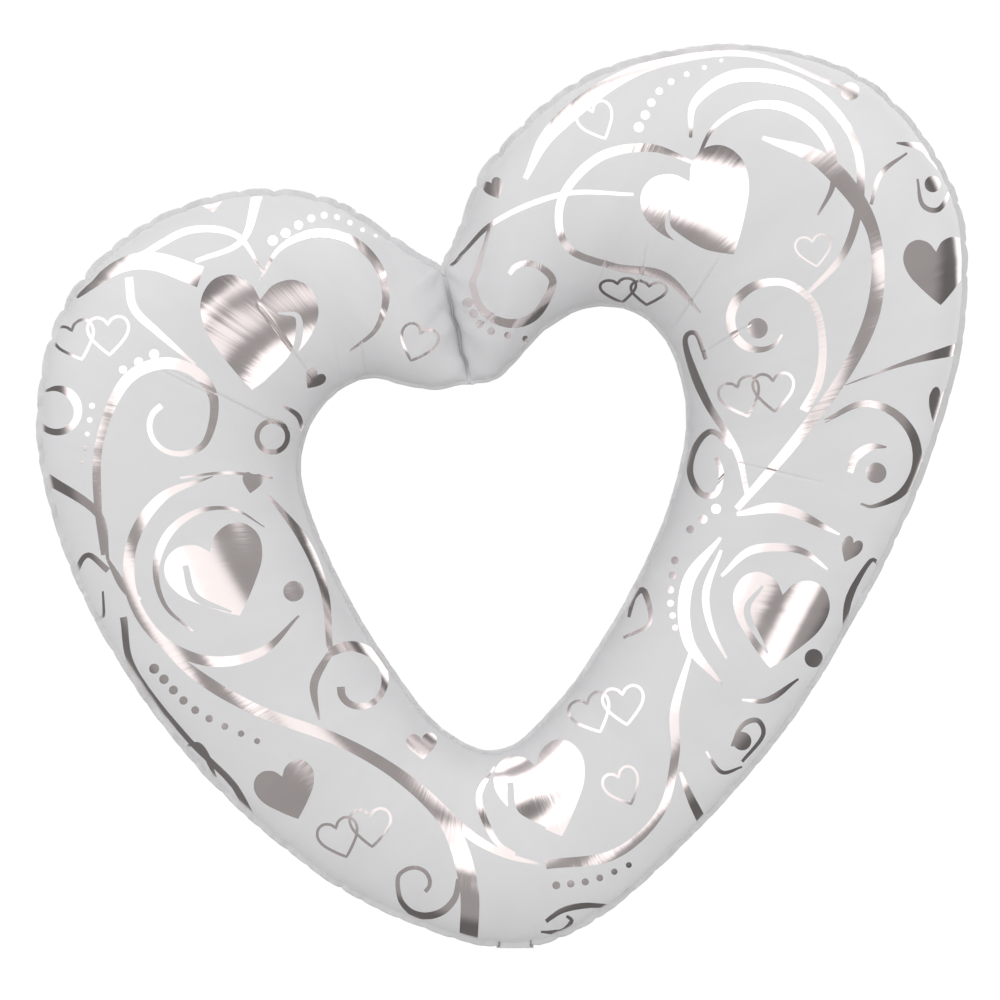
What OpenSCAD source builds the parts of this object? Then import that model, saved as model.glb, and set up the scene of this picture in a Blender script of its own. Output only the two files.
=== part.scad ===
// Open-heart foil balloon, inflated, with its self-sealing valve and its folding tail.
// The seam plane is y = 0, the printed front faces -Y and +Z is up. The origin is the
// bottom of the outer seam, where the tail starts and a ribbon is tied.

/* [Film] */
// Thickness of each panel film, a stand-in that can be built
film_t = 0.4; // [0.3:0.05:0.8]
// Depth of the inflated tube as a share of its width
depth_ratio = 0.86; // [0.6:0.02:1]
// Stations next to the cleft over which each lobe swells to its full depth
cleft_ramp = 2; // [1:0.5:3]

/* [Seams] */
// Width of the welded margin outside the outer weld line
outer_margin = 6; // [4:0.5:8]
// Width of the welded margin inside the opening
inner_margin = 4; // [2:0.5:6]
// How far each weld runs in under the panels
weld_lap = 1; // [0.5:0.1:2]

/* [Tail] */
// Width of the tail
tail_w = 36; // [32:1:44]
// Length of the tail from its fold to its round end
tail_l = 70; // [60:1:90]
// Width of the passage between the two side welds of the tail
neck_w = 28; // [24:1:30]
// Radius of the round inflation hole
port_r = 5; // [3:0.5:6]
// Distance from the end of the tail to the centre of its hole
port_inset = 13; // [11:1:16]
// Angle by which the tail is folded up behind the balloon, from hanging straight down
fold_at_rest = 108; // [90:1:109]

/* [Valve] */
// Width of the open channel between the valve's side welds
channel_w = 20; // [14:1:22]
// Height that the valve reaches inside the balloon
valve_l = 110; // [80:5:130]
// Length of the release coating on each side of the fold
coating_l = 30; // [20:1:40]

/* [Resolution] */
// Rings between two neighbouring stations
rings_per_station = 4; // [2:1:6]
// Steps across each panel from seam to seam
steps_across = 14; // [8:1:20]

/* [Hidden] */
$fn = 48;

// Stations round the tube from the left lobe's side of the cleft, down the left side, round
// the bottom tip and up to the right lobe's side: [inner x, inner z, outer x, outer z].
stations = [
    [-48, 550, -72, 650], [-76, 544, -116, 682], [-104, 548, -186, 722],
    [-138, 556, -272, 727], [-172, 543, -366, 690], [-199, 512, -434, 616],
    [-211, 467, -458, 510], [-200, 414, -438, 405], [-171, 350, -388, 295],
    [-132, 284, -305, 180], [-88, 224, -194, 80], [-55, 197, -94, 28],
    [-24, 187, 0, 6], [8, 198, 80, 35], [50, 242, 178, 123],
    [95, 308, 271, 234], [134, 382, 348, 366], [161, 453, 398, 482],
    [170, 520, 430, 602], [155, 580, 422, 728], [120, 617, 338, 836],
    [73, 624, 210, 870], [28, 602, 75, 840], [-5, 567, -14, 766],
    [-22, 552, -49, 698], [-40, 549, -66, 650]];

last = len(stations) - 1;
rings = last * rings_per_station + 1;
seam_t = 2 * film_t;
layer_t = seam_t / 4;
channel_gap = layer_t / 4;
fold_drop = 1;
fold_gap = 0.5;
end_shift = 0.03;

// Smooth curve through the stations at parameter u, from 0 to last.
function station(i) =
    i < 0 ? 2 * stations[0] - stations[1] :
    i > last ? 2 * stations[last] - stations[last - 1] : stations[i];
function blend4(a, b, c, d, t) =
    (2 * b + (c - a) * t + (2 * a - 5 * b + 4 * c - d) * t * t
     + (3 * b - a - 3 * c + d) * t * t * t) / 2;
function rib(u) =
    let (i = min(floor(u), last - 1))
    blend4(station(i - 1), station(i), station(i + 1), station(i + 2), u - i);

// The tube is flat at the cleft weld and swells to its full depth over cleft_ramp stations.
function swell(u) =
    let (near = min(1, u / cleft_ramp, (last - u) / cleft_ramp))
    sqrt(max(0, 1 - (1 - near) * (1 - near)));

// One point of a panel's skin. part runs from 0 at the inner weld to 1 at the outer one, and
// inset draws the whole section in by a film's thickness for the inside skin.
function skin(u, part, inset) =
    let (r = rib(u),
         inner = [r[0], r[1]],
         outer = [r[2], r[3]],
         half = norm(outer - inner) / 2,
         shrink = (half - inset) / half,
         across = (outer - inner) / 2 * shrink * cos(180 * (1 - part)),
         middle = (inner + outer) / 2,
         rise = half * depth_ratio * swell(u) * shrink * sin(180 * part))
    [middle[0] + across[0], -film_t - rise, middle[1] + across[1]];

function skin_points(inset, shift) =
    [for (i = [0 : rings - 1], j = [0 : steps_across])
        skin(shift + i * (last - 2 * shift) / (rings - 1), j / steps_across, inset)];

// Two triangles of the quad between ring i and the next, column j and the next.
function quad(a, b, c, d) = [[a, c, b], [a, d, c]];
function flat(lists) = [for (group = lists, item = group) item];

module half_tube() {
    cols = steps_across + 1;
    under = rings * cols;
    points = concat(skin_points(0, 0), skin_points(film_t, end_shift));
    outside = flat([for (i = [0 : rings - 2], j = [0 : cols - 2])
        let (a = i * cols + j) quad(a, a + cols, a + cols + 1, a + 1)]);
    inside = flat([for (i = [0 : rings - 2], j = [0 : cols - 2])
        let (a = under + i * cols + j) quad(a, a + 1, a + cols + 1, a + cols)]);
    long_edges = flat([for (i = [0 : rings - 2])
        let (a = i * cols, b = a + cols - 1)
        concat(quad(a, under + a, under + a + cols, a + cols),
               quad(b, b + cols, under + b + cols, under + b))]);
    end_edges = flat([for (j = [0 : cols - 2])
        let (a = j, b = (rings - 1) * cols + j)
        concat(quad(a, a + 1, under + a + 1, under + a),
               quad(b, under + b, under + b + 1, b + 1))]);
    polyhedron(points, concat(outside, inside, long_edges, end_edges), convexity = 8);
}

module front_panel() {
    color("gainsboro") half_tube();
}

module back_panel() {
    color("silver") mirror([0, 1, 0]) half_tube();
}

// The weld lines, as outlines in the seam plane, and the same outlines moved sideways:
// a positive distance moves away from the opening and a negative one towards it.
function weld_line(column) =
    [for (i = [0 : rings - 1])
        let (r = rib(i / rings_per_station)) [r[column], r[column + 1]]];
function beside(line, distance, open_end) =
    [for (i = [0 : len(line) - 1])
        let (ahead = line[min(i + 1, len(line) - 1)] - line[max(i - 1, 0)],
             side = [ahead[1], -ahead[0]] / norm(ahead),
             at_end = i == 0 || i == len(line) - 1)
        line[i] + side * (at_end ? open_end : distance)];
function reversed(line) = [for (i = [len(line) - 1 : -1 : 0]) line[i]];

outer_line = weld_line(2);
inner_line = weld_line(0);

module outer_strip() {
    polygon(concat(beside(outer_line, outer_margin, 0),
                   reversed(beside(outer_line, -weld_lap, -weld_lap))));
}

module inner_strip() {
    polygon(concat(beside(inner_line, weld_lap, weld_lap),
                   reversed(beside(inner_line, -inner_margin, -inner_margin))));
}

// A flat plate in the seam plane, between two values of y.
module plate(low_y, high_y) {
    translate([0, high_y, 0]) rotate([90, 0, 0]) linear_extrude(high_y - low_y) children();
}

module band(width, low_z, high_z) {
    translate([-width / 2, low_z]) square([width, high_z - low_z]);
}

neck_top = 2 * outer_margin;

module outer_seam() {
    color("whitesmoke") plate(-film_t, film_t) difference() {
        outer_strip();
        band(neck_w, -outer_margin, neck_top);
    }
}

module inner_seam() {
    color("whitesmoke") plate(-film_t, film_t) inner_strip();
}

module cleft_seam() {
    lap = [weld_lap, 0];
    drop = [0, inner_margin];
    dip = [0, 2 * weld_lap];
    color("whitesmoke") plate(-film_t, film_t) difference() {
        polygon([inner_line[0] - drop, inner_line[rings - 1] - drop,
                 inner_line[rings - 1] + lap, outer_line[rings - 1] + lap - dip,
                 outer_line[rings - 1], outer_line[0],
                 outer_line[0] - lap - dip, inner_line[0] - lap]);
        outer_strip();
        inner_strip();
    }
}

// The films of the neck take the place of the weld where the valve passes through it.
module neck_film() {
    plate(-film_t, -layer_t) band(neck_w, 0, neck_top);
}

module neck_front_film() {
    color("gainsboro") neck_film();
}

module neck_back_film() {
    color("silver") mirror([0, 1, 0]) neck_film();
}

// The valve is two soft films, welded along their sides, with a channel between them.
module valve_film(low_z, high_z) {
    plate(-layer_t, -channel_gap) band(channel_w, low_z, high_z);
}

module side_welds(low_z, high_z) {
    plate(-layer_t, layer_t) difference() {
        band(neck_w, low_z, high_z);
        band(channel_w, low_z - 1, high_z + 1);
    }
}

module coating(low_z, high_z) {
    plate(0, channel_gap) band(channel_w - 4, low_z, high_z);
}

module valve_front_film() {
    color("aliceblue") valve_film(0, valve_l);
}

module valve_back_film() {
    color("aliceblue") mirror([0, 1, 0]) valve_film(0, valve_l);
}

module valve_side_welds() {
    color("lightsteelblue") side_welds(0, valve_l);
}

module release_coating() {
    color("slategray") coating(0, coating_l);
}

// The tail is drawn hanging below its fold line and then folded up behind the balloon.
module folded() {
    translate([0, 0, -fold_drop]) rotate([fold_at_rest, 0, 0]) children();
}

tail_end_r = tail_w / 2;
tail_valve_l = tail_l - port_inset - port_r - 4;

module tail_outline() {
    union() {
        band(tail_w, tail_end_r - tail_l, -fold_gap);
        translate([0, tail_end_r - tail_l]) circle(r = tail_end_r);
    }
}

module tail_film() {
    plate(-film_t, -layer_t) difference() {
        intersection() {
            tail_outline();
            band(neck_w, -tail_l - 1, 0);
        }
        translate([0, port_inset - tail_l]) circle(r = port_r);
    }
}

module tail_front_film() {
    color("gainsboro") folded() tail_film();
}

module tail_back_film() {
    color("silver") folded() mirror([0, 1, 0]) tail_film();
}

module tail_side_welds() {
    color("whitesmoke") folded() plate(-film_t, film_t) difference() {
        tail_outline();
        band(neck_w, -tail_l - 1, 1);
    }
}

module tail_valve_front_film() {
    color("aliceblue") folded() valve_film(-tail_valve_l, -fold_gap);
}

module tail_valve_back_film() {
    color("aliceblue") folded() mirror([0, 1, 0]) valve_film(-tail_valve_l, -fold_gap);
}

module tail_valve_side_welds() {
    color("lightsteelblue") folded() side_welds(-tail_valve_l, -fold_gap);
}

module tail_release_coating() {
    color("slategray") folded() coating(-coating_l, -fold_gap);
}

front_panel();
back_panel();
outer_seam();
inner_seam();
cleft_seam();
neck_front_film();
neck_back_film();
valve_front_film();
valve_back_film();
valve_side_welds();
release_coating();
tail_front_film();
tail_back_film();
tail_side_welds();
tail_valve_front_film();
tail_valve_back_film();
tail_valve_side_welds();
tail_release_coating();
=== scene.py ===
"""Open-heart foil balloon, inflated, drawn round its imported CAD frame.

The film is worked out as a grid of points that runs along the tube and across it from seam
to seam. It is gathered at the seams and creased. The printed panels are then cut from that
film along the outlines of the hearts, scrolls, rings and dots. Sizes are in millimetres
until a mesh is made, and the frame is in metres.
"""
import math

import bpy
import numpy as np
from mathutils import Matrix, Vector
from mathutils.geometry import delaunay_2d_cdt
from mathutils.kdtree import KDTree


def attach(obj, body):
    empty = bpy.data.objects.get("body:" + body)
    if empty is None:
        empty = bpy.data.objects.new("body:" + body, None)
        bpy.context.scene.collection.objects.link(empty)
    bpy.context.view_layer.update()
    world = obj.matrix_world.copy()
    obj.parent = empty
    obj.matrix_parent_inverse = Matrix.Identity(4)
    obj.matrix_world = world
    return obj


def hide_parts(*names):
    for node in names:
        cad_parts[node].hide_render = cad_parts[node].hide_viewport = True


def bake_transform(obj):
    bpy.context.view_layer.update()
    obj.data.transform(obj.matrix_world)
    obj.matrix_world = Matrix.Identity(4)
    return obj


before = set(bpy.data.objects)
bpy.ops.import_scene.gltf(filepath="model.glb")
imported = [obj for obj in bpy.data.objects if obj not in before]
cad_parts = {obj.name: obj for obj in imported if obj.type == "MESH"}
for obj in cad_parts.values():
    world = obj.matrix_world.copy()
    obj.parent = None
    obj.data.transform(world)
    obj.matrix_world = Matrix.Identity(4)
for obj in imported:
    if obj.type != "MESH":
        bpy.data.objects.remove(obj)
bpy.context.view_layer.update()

MM = 0.001
BALLOON, TAIL = "balloon", "tail"
EYE = np.array([-14.6, -4040.0, 433.6])     # place of the camera, in millimetres


def add_camera():
    """A long lens, level, straight in front of the balloon."""
    data = bpy.data.cameras.new("camera")
    data.lens = 150
    data.sensor_width = 36
    data.clip_end = 60
    camera = bpy.data.objects.new("camera", data)
    camera.location = EYE * MM
    camera.rotation_euler = (math.radians(90), 0, 0)
    bpy.context.scene.collection.objects.link(camera)
    bpy.context.scene.camera = camera


add_camera()

# ------------ the tube

# The same stations as the CAD tube: inner x, inner z, outer x, outer z, from the left lobe's
# side of the cleft, down the left side, round the tip and up to the right lobe's side.
STATIONS = np.array([
    [-48, 550, -72, 650], [-76, 544, -116, 682], [-104, 548, -186, 722],
    [-138, 556, -272, 727], [-172, 543, -366, 690], [-199, 512, -434, 616],
    [-211, 467, -458, 510], [-200, 414, -438, 405], [-171, 350, -388, 295],
    [-132, 284, -305, 180], [-88, 224, -194, 80], [-55, 197, -94, 28],
    [-24, 187, 0, 6], [8, 198, 80, 35], [50, 242, 178, 123],
    [95, 308, 271, 234], [134, 382, 348, 366], [161, 453, 398, 482],
    [170, 520, 430, 602], [155, 580, 422, 728], [120, 617, 338, 836],
    [73, 624, 210, 870], [28, 602, 75, 840], [-5, 567, -14, 766],
    [-22, 552, -49, 698], [-40, 549, -66, 650]], float)
LAST = len(STATIONS) - 1
DEPTH_RATIO = 0.86
CLEFT_RAMP = 2.0
ROWS, COLUMNS = 1300, 64        # film grid: rows along the tube, columns across it
FINE_STEPS = 6001               # fine places along the tube, from which rows are spaced
SPAN = 330.0                    # width of the film when its print is laid out flat
OUTER_MARGIN, INNER_MARGIN = 6.0, 4.0
NECK_HALF, NECK_BELOW = 14.0, 30    # the gap in the outer seam, beside and above the tip


def spline(points, u):
    """A smooth curve through the points; u counts from 0 at the first of them."""
    points = np.asarray(points, float)
    u = np.atleast_1d(u)
    ends = np.vstack([2 * points[0] - points[1], points, 2 * points[-1] - points[-2]])
    i = np.clip(np.floor(u).astype(int), 0, len(points) - 2)
    t = (u - i)[:, None]
    a, b, c, d = ends[i], ends[i + 1], ends[i + 2], ends[i + 3]
    return (2 * b + (c - a) * t + (2 * a - 5 * b + 4 * c - d) * t ** 2
            + (3 * b - a - 3 * c + d) * t ** 3) / 2


def lengths(points):
    """Distance of each point from the first, along the row."""
    steps = np.linalg.norm(np.diff(points, axis=0), axis=-1)
    return np.concatenate([np.zeros((1,) + steps.shape[1:]), np.cumsum(steps, axis=0)])


def unit(v):
    return v / (np.linalg.norm(v, axis=-1, keepdims=True) + 1e-9)


def smooth(values, width):
    """Moving average of a row of values, with a soft window."""
    window = np.hanning(width | 1)
    window /= window.sum()
    pad = len(window) // 2
    return np.convolve(np.pad(values, pad, mode="edge"), window, mode="valid")


def even_rows():
    """Station parameter of every grid row, evenly spaced along the tube."""
    fine = np.linspace(0, LAST, FINE_STEPS)
    edges = spline(STATIONS, fine)
    run = 0.75 * lengths(edges[:, 2:]) + 0.25 * lengths(edges[:, :2])
    return np.interp(np.linspace(0, run[-1], ROWS), run, fine)


def smooth_film(u):
    """The film without its gathers: half a tube in front of the seam plane."""
    edges = spline(STATIONS, u)
    inner, outer = edges[:, :2], edges[:, 2:]
    width = np.linalg.norm(outer - inner, axis=1)
    near = np.clip(np.minimum(u, LAST - u) / CLEFT_RAMP, 0, 1)
    swell = np.sqrt(1 - (1 - near) ** 2)
    angle = np.pi * np.linspace(0, 1, COLUMNS)
    share = (1 - np.cos(angle))[:, None] / 2
    flat = inner[:, None, :] + (outer - inner)[:, None, :] * share
    depth = -(width * swell * DEPTH_RATIO / 2)[:, None] * np.sin(angle)
    return np.stack([flat[:, :, 0], depth, flat[:, :, 1]], axis=-1)


def grid_normals(grid):
    """Unit normals of the film, pointing away from the inside of the tube."""
    along = np.gradient(grid, axis=0)
    across = np.gradient(grid, axis=1)
    normals = unit(np.cross(along, across))
    middle = normals[ROWS // 2, COLUMNS // 2]
    return normals if middle[1] < 0 else -normals


# ------------ gathers and creases

NOISE_ROWS, NOISE_COLUMNS = 512, 64

# What each value means is in gathers(). Lengths are in millimetres.
OUTER_GATHERS = dict(seed=11, spacing=30, spread=13, puff=3.0, reach=18, bite=2.6,
                     shortest=20, longest=75)
FINE_GATHERS = dict(seed=12, spacing=12, spread=5, puff=0.5, reach=9, bite=0.8,
                    shortest=12, longest=55)
INNER_GATHERS = dict(seed=13, spacing=23, spread=9, puff=0.4, reach=10, bite=1.0,
                     shortest=18, longest=60)


def noise(a, b, seed):
    """Smooth random heights between -1 and 1, with one random value to each unit."""
    rng = np.random.default_rng(seed)
    table = rng.uniform(-1, 1, (NOISE_ROWS, NOISE_COLUMNS))
    i, j = np.floor(a).astype(int), np.floor(b).astype(int)
    fa, fb = a - i, b - j
    fa, fb = fa * fa * (3 - 2 * fa), fb * fb * (3 - 2 * fb)
    row, next_row = i % NOISE_ROWS, (i + 1) % NOISE_ROWS
    column, next_column = j % NOISE_COLUMNS, (j + 1) % NOISE_COLUMNS
    low = table[row, column] * (1 - fb) + table[row, next_column] * fb
    high = table[next_row, column] * (1 - fb) + table[next_row, next_column] * fb
    return low * (1 - fa) + high * fa


def gathers(run, away, seed, spacing, spread, puff, reach, bite, shortest, longest):
    """Heights of a film that is gathered along a seam.

    run is the place along the seam and away the distance from it. The film puffs out by
    puff between the creases, within reach of the seam. Each crease is bite deep and fades
    over a length of its own, from shortest to longest. The creases are spacing apart, more
    or less by up to spread.
    """
    rng = np.random.default_rng(seed)
    count = int(run.max() / (spacing - spread)) + 4
    steps = spacing + spread * rng.uniform(-1, 1, count)
    places = np.cumsum(steps) - 2 * spacing
    lean = rng.normal(0, 0.10, count)
    depth = bite * rng.uniform(0.35, 1.0, count)
    fade = rng.uniform(shortest, longest, count)
    k = np.clip(np.searchsorted(places, run) - 1, 0, count - 2)
    gap = places[k + 1] - places[k]
    x = np.clip((run - places[k]) / gap, 0, 1)
    pillow = (4 * x * (1 - x)) ** 0.7
    height = puff * (gap / spacing) * (pillow - 0.55) * np.exp(-away / reach)
    for side in (0, 1):
        c = k + side
        off = np.abs(run - places[c] - lean[c] * away)
        height -= depth[c] * np.exp(-off / (2.0 + 0.03 * away)) * np.exp(-away / fade[c])
    return height


def turning(film):
    """How sharply the outer seam bulges at every row, from 0 where it is straight to 1."""
    outline = film[:, -1][:, [0, 2]]
    way = np.gradient(outline, axis=0)
    bend = np.gradient(np.unwrap(np.arctan2(way[:, 1], way[:, 0])))
    sharpest, window, gain = 0.02, 91, 150
    bend = smooth(np.clip(bend / np.linalg.norm(way, axis=1), 0, sharpest), window)
    return np.clip(bend * gain, 0, 1)[:, None]


def draw_together(out, outer_run):
    """Pulls both ends of the film to one line at the cleft, which wanders a little."""
    middle = (out[0] + out[-1]) / 2
    along = lengths(out[0])
    middle[:, 0] += 1.8 * noise(along / 9, 0 * along, 28) * np.clip(along / 20, 0, 1)
    for k, near in ((0, outer_run), (-1, outer_run[-1] - outer_run)):
        draw = (middle - out[k]) * [0.8, 0, 0.8]
        out += draw[None] * np.exp(-near / 22)[:, :, None]


def hold_to_seam_plane(out):
    """Keeps the film in front of the seam plane, and all its edges in that plane."""
    out[:, :, 1] = np.minimum(out[:, :, 1], 0)
    out[:, 0, 1] = 0
    out[:, -1, 1] = 0
    out[0, :, 1] = 0
    out[-1, :, 1] = 0


def gathered(film):
    """The film with its gathers, cleft folds and pull lines, and its seams' weave."""
    normals = grid_normals(film)
    outer_run = lengths(film[:, -1])[:, None]
    inner_run = lengths(film[:, 0])[:, None]
    from_inner = lengths(film.transpose(1, 0, 2)).T
    from_outer = from_inner[:, -1:] - from_inner
    outer_place = outer_run + 0 * from_inner
    inner_place = inner_run + 0 * from_inner
    curl = turning(film)
    # gathers: the wide ones differ in strength along the seam and grow where it turns
    ease = smooth(noise(outer_run[:, 0] / 140, 0 * outer_run[:, 0], 20), 61)[:, None]
    uneven = np.clip(0.75 + 0.5 * ease, 0.3, 1.2)
    height = (0.16 + 0.84 * curl) * uneven * gathers(outer_place, from_outer, **OUTER_GATHERS)
    height += (0.1 + 0.4 * curl) * gathers(outer_place, from_outer, **FINE_GATHERS)
    height += 0.45 * gathers(inner_place, from_inner, **INNER_GATHERS)
    # fine pull lines that run across the tube, strongest where the outline turns
    pull = np.exp(-from_outer / 120) * (0.25 + 0.75 * curl)
    patch = np.clip(noise(outer_place / 130, from_inner / 160, 21) + 0.35, 0, 1)
    height += 0.50 * pull * patch * noise(outer_place / 5.5, from_inner / 150, 22)
    # broad, shallow unevenness
    height += 0.9 * noise(outer_place / 95, from_inner / 90, 23)
    # folds that fan out from the cleft, where both lobes are pulled together
    end = np.minimum(outer_run, outer_run[-1] - outer_run)
    end = 0.6 * end + 0.4 * np.minimum(inner_run, inner_run[-1] - inner_run)
    fan = np.exp(-end / 45) * np.clip(end / 10, 0, 1)
    height += 3.0 * fan * noise(from_inner / 15, end / 60, 24)
    height += 1.2 * fan * noise(from_inner / 6, end / 30, 25)
    out = film + normals * height[:, :, None]
    draw_together(out, outer_run)
    hold_to_seam_plane(out)
    # the seams themselves weave a little from side to side, front and back film together
    sway = 1.1 * noise(outer_run / 21, 0 * outer_run, 26) * np.exp(-from_outer / 14)
    sway = sway + 0.5 * noise(inner_run / 16, 0 * inner_run, 27) * np.exp(-from_inner / 10)
    return out, sway


def sample(field, a, b):
    """Values of a grid field at fractional rows a and columns b."""
    i = np.clip(np.floor(a).astype(int), 0, field.shape[0] - 2)
    j = np.clip(np.floor(b).astype(int), 0, field.shape[1] - 2)
    s, t = a - i, b - j
    if field.ndim == 3:
        s, t = s[:, None], t[:, None]
    low = field[i, j] * (1 - t) + field[i, j + 1] * t
    high = field[i + 1, j] * (1 - t) + field[i + 1, j + 1] * t
    return low * (1 - s) + high * s


rows_u = even_rows()
plain = smooth_film(rows_u)
film, sway = gathered(plain)
film_normals = grid_normals(film)
run_mid = lengths(plain[:, COLUMNS // 2])
LONG = float(run_mid[-1])

# ------------ the print

shapes = []                     # (outline in the front view, True where it is bare foil)
POINT_STEP = 2.2                # between the points of an outline
THINNEST = 0.8                  # least width of a stroke
LINKED_PEN = 2.8                # line width of two linked hearts
# half a heart, one unit wide and tall as a whole, from the notch to the point
HALF_HEART = [(0, 0.30), (0.10, 0.44), (0.27, 0.50), (0.43, 0.42), (0.50, 0.22),
              (0.43, -0.02), (0.26, -0.24), (0.10, -0.41), (0, -0.50)]


def curve(points, step=POINT_STEP):
    """Evenly spaced points on a smooth curve."""
    line = spline(points, np.linspace(0, len(points) - 1, 40 * len(points)))
    run = lengths(line)
    even = np.linspace(0, run[-1], max(5, int(run[-1] / step)))
    return np.stack([np.interp(even, run, line[:, k]) for k in (0, 1)], axis=1)


def sides(line, half):
    """The two lines beside a line, half away from it."""
    ahead = unit(np.gradient(line, axis=0))
    side = np.stack([-ahead[:, 1], ahead[:, 0]], axis=1) * np.reshape(half, (-1, 1))
    return line + side, line - side


def stroke(widths, *points, foil=True):
    """A brush stroke through the points, with widths that are spread evenly along it."""
    line = curve(points)
    half = spline(np.array(widths, float)[:, None] / 2,
                  np.linspace(0, len(widths) - 1, len(line)))[:, 0]
    left, right = sides(line, np.maximum(half, THINNEST / 2))
    shapes.append((np.vstack([left, right[::-1]]), foil))


def circle(x, z, r):
    turn = np.linspace(0, 2 * np.pi, max(10, int(r * 2.4)) + 1)[:-1]
    return np.stack([x + r * np.cos(turn), z + r * np.sin(turn)], axis=1)


def dot(x, z, r):
    shapes.append((circle(x, z, r), True))


def loop(line, thick):
    """A closed line drawn with a pen."""
    line = np.vstack([line, line[:1]])
    ahead = np.vstack([line[1:], line[1:2]]) - np.vstack([line[-2:-1], line[:-1]])
    side = unit(np.stack([-ahead[:, 1], ahead[:, 0]], axis=1)) * thick / 2
    shapes.append((np.vstack([line + side, (line - side)[::-1]]), True))


def ring(x, z, r, thick):
    loop(circle(x, z, r), thick)


def dots(count, big, small, *points):
    """A row of dots along a curve, which shrink from the first to the last."""
    line = spline(points, np.linspace(0, len(points) - 1, count))
    for (x, z), r in zip(line, np.linspace(big, small, count)):
        dot(x, z, r)


def heart_line(x, z, wide, tall, lean=0.0):
    """A heart's outline. lean is how far its point swings to the right, in degrees."""
    step = POINT_STEP / max(wide, tall)
    right = curve(HALF_HEART, max(step, 0.04))
    line = np.vstack([right, (right * [-1, 1])[::-1][1:-1]]) * [wide, tall]
    c, s = math.cos(math.radians(lean)), math.sin(math.radians(lean))
    return line @ np.array([[c, s], [-s, c]]) + [x, z]


def heart(x, z, wide, tall, lean=0.0):
    shapes.append((heart_line(x, z, wide, tall, lean), True))


def open_heart(x, z, wide, tall, lean=0.0, thick=2.6):
    loop(heart_line(x, z, wide, tall, lean), thick)


def linked_hearts(x, z, size, lean=0.0, tilt=0.0, flat=1.0):
    """Two open hearts side by side, each through the other."""
    c, s = math.cos(math.radians(tilt)), math.sin(math.radians(tilt))
    for side, turn in ((-0.40, lean + 10), (0.40, lean - 6)):
        centre = [x + side * size * c, z + side * size * s]
        line = heart_line(0, 0, size, 0.92 * size, turn) * [1, flat] + centre
        loop(line, LINKED_PEN)


def sweep(x, z, start, end, turn, last_turn):
    """Points along an arc or a curl round a centre, as its radius goes from start to end."""
    count = max(3, int(abs(last_turn - turn) / 30) + 1)
    turns = np.radians(np.linspace(turn, last_turn, count))
    return [(x + r * math.cos(t), z + r * math.sin(t))
            for r, t in zip(np.linspace(start, end, count), turns)]


def left_lobe_print():
    stroke((2, 6, 7, 6), (-245, 655), (-270, 690), (-315, 695), (-365, 670))
    stroke((2, 8, 8, 2), *sweep(-185, 630, 65, 58, 165, -65))
    stroke((3, 12, 18, 21), (-425, 630), (-385, 660), (-350, 665), (-305, 650))
    stroke((4, 6, 11), (-310, 665), (-265, 685), (-250, 730))
    stroke((8, 8, 6, 2), (-375, 650), (-370, 620), (-345, 595), (-310, 565))
    stroke((4, 8, 8, 11, 11, 8, 5, 6), (-400, 380), (-405, 430), (-405, 480),
           *sweep(-330, 515, 62, 38, 170, 0), *sweep(-330, 510, 36, 20, -35, -230))
    stroke((2, 9, 7, 6, 3), *sweep(-445, 520, 22, 20, 120, -190))
    stroke((10, 8, 3), (-455, 455), (-405, 420), (-395, 375))
    stroke((3, 8, 8), (-395, 375), (-380, 350), (-365, 335))
    stroke((2, 5, 3), (-225, 525), (-210, 515), (-205, 500))
    heart(-250, 595, 115, 110, -5)
    stroke((2, 7, 5, 2), (-230, 615), (-210, 610), (-215, 575), (-245, 545), foil=False)
    heart(-195, 550, 20, 20, -35)
    heart(-295, 725, 30, 25, 10)
    open_heart(-95, 585, 35, 35, -20)
    linked_hearts(-410, 590, 40, 10, 10)
    heart(-255, 450, 20, 20, -10)
    ring(-235, 495, 15, 5)
    dots(9, 5, 2, (-235, 685), (-185, 710), (-135, 690))
    dots(3, 4, 5, (-380, 560), (-350, 575))
    dots(5, 3, 2, (-410, 525), (-420, 470))


def left_side_print():
    stroke((1, 10, 11, 11, 10, 9, 2), *sweep(-285, 365, 92, 87, 95, 330))
    stroke((2, 3, 2), (-325, 455), (-280, 460), (-235, 455))
    stroke((1, 4, 8, 5, 2), *sweep(-285, 365, 60, 65, 45, 245))
    stroke((2, 9, 8, 6), (-240, 440), (-205, 395), (-185, 345), (-180, 290))
    stroke((2, 11, 11, 11, 12, 15, 18, 18), (-360, 310), (-310, 265), (-250, 230),
           (-170, 200), (-110, 165), (-65, 120), (-45, 60), (-45, 5))
    stroke((6, 9, 7, 2), (-80, 145), (-45, 110), (-10, 90), (25, 80))
    stroke((7, 6, 5, 6, 7), (-380, 320), (-370, 270), (-320, 205), (-275, 160),
           (-255, 125))
    stroke((9, 10, 7, 6, 8), *sweep(-155, 255, 40, 14, 130, -170))
    stroke((6, 8, 2), (-180, 285), (-195, 255), (-190, 220))
    stroke((2, 6, 2), (-320, 195), (-305, 195), (-290, 165))
    stroke((6, 5, 4, 3, 2), (-395, 365), (-415, 380), (-425, 360), (-415, 330),
           (-400, 320), (-400, 345))
    heart(-285, 360, 100, 85, 25)
    stroke((6, 7, 2), (-320, 370), (-310, 340), (-275, 325), foil=False)
    dot(-215, 345, 10)
    heart(-220, 150, 60, 55, 20)
    heart(-90, 195, 30, 25, 5)
    linked_hearts(-155, 110, 40, 10, 20)
    dots(9, 5, 3, (-350, 270), (-310, 230), (-250, 200))


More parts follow.
